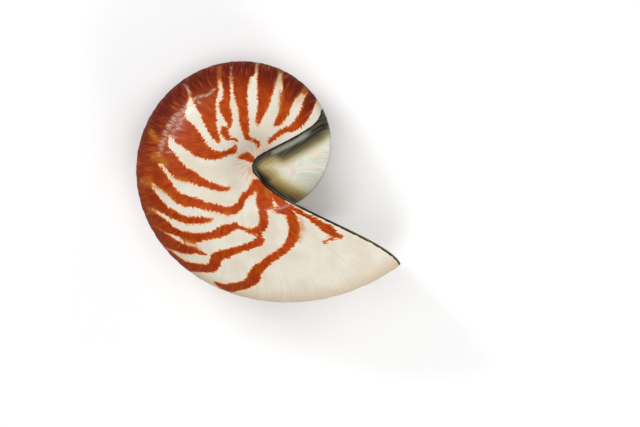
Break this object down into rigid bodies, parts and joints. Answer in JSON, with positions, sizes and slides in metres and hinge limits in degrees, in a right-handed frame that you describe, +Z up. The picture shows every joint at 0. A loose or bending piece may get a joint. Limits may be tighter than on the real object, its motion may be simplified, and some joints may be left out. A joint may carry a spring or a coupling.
{
  "type": "nautilus shell",
  "caption": "Whole empty chambered nautilus shell with brown flame stripes, lying on one flank, its body chamber open at the lip.",
  "frame": {"origin": "on the surface it rests on, at the middle of the shell's length and width", "axes": "+Z up, within 12 degrees of the coil axis; +X the longest way across, towards the lip; +Y towards the top of the coil"},
  "size_m": [0.1548, 0.1398, 0.0772],
  "materials": {
    "shell": "cream aragonite with a soft gloss, orange-brown to maroon flame stripes, a black film by the aperture and pearly nacre inside"
  },
  "bodies": {
    "root": {"nautilus_shell": "shell"}
  },
  "joints": []
}
